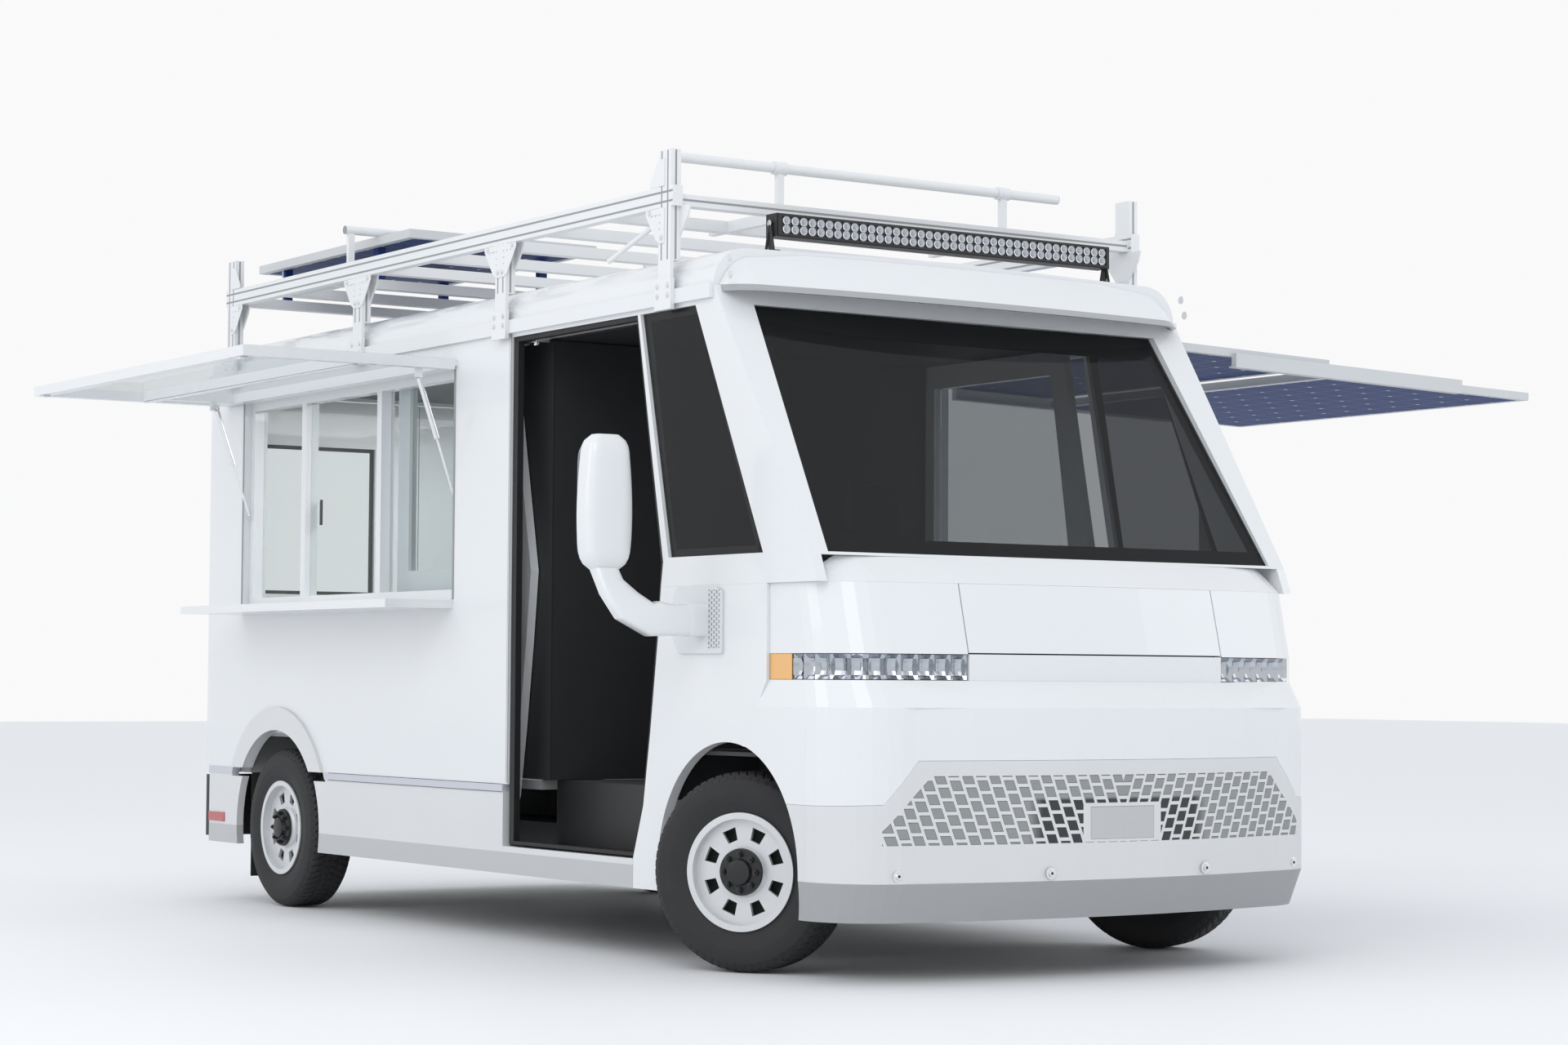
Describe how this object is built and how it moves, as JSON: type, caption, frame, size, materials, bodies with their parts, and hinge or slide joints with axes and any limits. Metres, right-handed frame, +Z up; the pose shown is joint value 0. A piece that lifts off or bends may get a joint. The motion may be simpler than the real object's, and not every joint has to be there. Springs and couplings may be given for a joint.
{
  "type": "food truck",
  "caption": "Step van food truck with a serving hatch under a glazed awning, a roof rack and a fold-out solar canopy.",
  "frame": {"origin": "middle of the footprint of the whole part with its canopy and awning out, on the ground", "axes": "+Z up, the nose faces -Y, the serving side faces -X"},
  "size_m": [5.568, 5.712, 3.1803],
  "materials": {
    "chassis_black": "satin",
    "rim_silver": "satin",
    "tyre": "matt",
    "floor_grey": "matt",
    "body_white": "gloss",
    "trim_grey": "satin",
    "lamp_red": "gloss",
    "lamp_clear": "gloss",
    "tinted_glass": "gloss",
    "clear_glass": "gloss",
    "cab_black": "matt",
    "frame_white": "satin",
    "strut_silver": "satin",
    "lamp_bar_black": "satin",
    "solar_cells": "gloss"
  },
  "bodies": {
    "truck": {"frame_rails": "chassis_black", "battery_pack": "chassis_black", "front_axle": "chassis_black", "rear_axle": "chassis_black", "cab_floor": "floor_grey", "cargo_floor": "floor_grey", "side_wall_right": "body_white", "side_wall_left": "body_white", "roof": "body_white", "rear_frame": "body_white", "rear_bumper": "trim_grey", "rear_lamps": "lamp_red", "cab_frame": "body_white", "fenders": "body_white", "front_corners": "body_white", "cowl": "body_white", "centre_bar": "body_white", "headlamps": "lamp_clear", "bumper_upper": "body_white", "bumper_lower": "trim_grey", "windshield": "tinted_glass", "quarter_windows": "tinted_glass", "sun_visor": "body_white", "mirrors": "body_white", "side_skirts": "trim_grey", "wheel_flares": "body_white", "mud_flaps": "cab_black", "dashboard": "cab_black", "steering_wheel": "cab_black", "driver_seat": "cab_black", "bulkhead": "cab_black", "serving_window": "frame_white", "serving_glass": "clear_glass", "roof_rack": "frame_white", "light_bar": "lamp_bar_black", "roof_panel": "solar_cells"},
    "steer_right": {"knuckle_right": "chassis_black"},
    "steer_left": {"knuckle_left": "chassis_black"},
    "wheel_front_right": {"rim_front_right": "rim_silver", "tyre_front_right": "tyre"},
    "wheel_front_left": {"rim_front_left": "rim_silver", "tyre_front_left": "tyre"},
    "wheel_rear_right": {"rim_rear_right": "rim_silver", "tyre_rear_right": "tyre"},
    "wheel_rear_left": {"rim_rear_left": "rim_silver", "tyre_rear_left": "tyre"},
    "rear_door_right": {"rear_door_right": "body_white"},
    "rear_door_left": {"rear_door_left": "body_white"},
    "hood": {"hood": "body_white"},
    "cab_door_right": {"cab_door_right": "body_white", "door_glass_right": "clear_glass"},
    "cab_door_left": {"cab_door_left": "body_white", "door_glass_left": "clear_glass"},
    "serving_shelf": {"serving_shelf": "body_white"},
    "awning": {"awning_frame": "frame_white", "awning_glass": "clear_glass"},
    "strut_tubes": {"strut_tubes": "strut_silver"},
    "strut_rods": {"strut_rods": "strut_silver"},
    "canopy_inner": {"canopy_inner": "solar_cells"},
    "canopy_outer": {"canopy_outer": "solar_cells"}
  },
  "joints": [
    {"name": "steer_left", "type": "hinge", "parent": "truck", "child": "steer_left", "pos_m": [0.30044, -1.886, 0.372], "axis": [0, 0, 1], "range_deg": [-65, 5]},
    {"name": "steer_right", "type": "hinge", "parent": "truck", "child": "steer_right", "pos_m": [-1.60956, -1.886, 0.372], "axis": [0, 0, 1], "range_deg": [-65, 5]},
    {"name": "roll_front_left", "type": "hinge", "parent": "steer_left", "child": "wheel_front_left", "pos_m": [0.3524, -1.856, 0.372], "axis": [0.866, 0.5, 0], "continuous": true},
    {"name": "roll_front_right", "type": "hinge", "parent": "steer_right", "child": "wheel_front_right", "pos_m": [-1.66152, -1.916, 0.372], "axis": [0.866, 0.5, 0], "continuous": true},
    {"name": "roll_rear_left", "type": "hinge", "parent": "truck", "child": "wheel_rear_left", "pos_m": [0.36044, 1.994, 0.372], "axis": [1, 0, 0], "continuous": true},
    {"name": "roll_rear_right", "type": "hinge", "parent": "truck", "child": "wheel_rear_right", "pos_m": [-1.66956, 1.994, 0.372], "axis": [1, 0, 0], "continuous": true},
    {"name": "open_rear_left", "type": "hinge", "parent": "truck", "child": "rear_door_left", "pos_m": [0.43244, 2.846, 1.59], "axis": [0, 0, -1], "range_deg": [0, 180]},
    {"name": "open_rear_right", "type": "hinge", "parent": "truck", "child": "rear_door_right", "pos_m": [-1.74156, 2.846, 1.59], "axis": [0, 0, 1], "range_deg": [0, 180]},
    {"name": "open_hood", "type": "hinge", "parent": "truck", "child": "hood", "pos_m": [-0.65456, -2.676, 1.429], "axis": [-1, 0, 0], "range_deg": [0, 55]},
    {"name": "slide_cab_right", "type": "slide", "parent": "truck", "child": "cab_door_right", "axis": [0, -1, 0], "range_m": [0, 1.24]},
    {"name": "slide_cab_left", "type": "slide", "parent": "truck", "child": "cab_door_left", "axis": [0, 1, 0], "range_m": [0, 1.24]},
    {"name": "fold_shelf", "type": "hinge", "parent": "truck", "child": "serving_shelf", "pos_m": [-1.78986, 1.344, 1.382], "axis": [0, -1, 0], "range_deg": [0, 90]},
    {"name": "swing_awning", "type": "hinge", "parent": "truck", "child": "awning", "pos_m": [-1.79956, 1.344, 2.41], "axis": [0, -1, 0], "range_deg": [0, 90]},
    {"name": "strut_swing", "type": "hinge", "parent": "awning", "child": "strut_tubes", "pos_m": [-1.95256, 1.344, 2.38], "axis": [0, -1, 0], "range_deg": [-109.61, 0]},
    {"name": "strut_stroke", "type": "slide", "parent": "strut_tubes", "child": "strut_rods", "axis": [-0.3296, 0, 0.9441], "range_m": [0, 0.1562]},
    {"name": "fold_canopy", "type": "hinge", "parent": "truck", "child": "canopy_inner", "pos_m": [0.53544, -0.651, 2.531], "axis": [0, -1, 0], "range_deg": [0, 90]},
    {"name": "slide_canopy", "type": "slide", "parent": "canopy_inner", "child": "canopy_outer", "axis": [-0.9996, 0, 0.0279], "range_m": [0, 0.95]}
  ],
  "couplings": [
    {"joint": "steer_right", "follows": "steer_left", "ratio": 1},
    {"joint": "strut_swing", "follows": "swing_awning", "ratio": -1.2123},
    {"joint": "strut_stroke", "follows": "swing_awning", "m_per_rad": 0.098165}
  ]
}
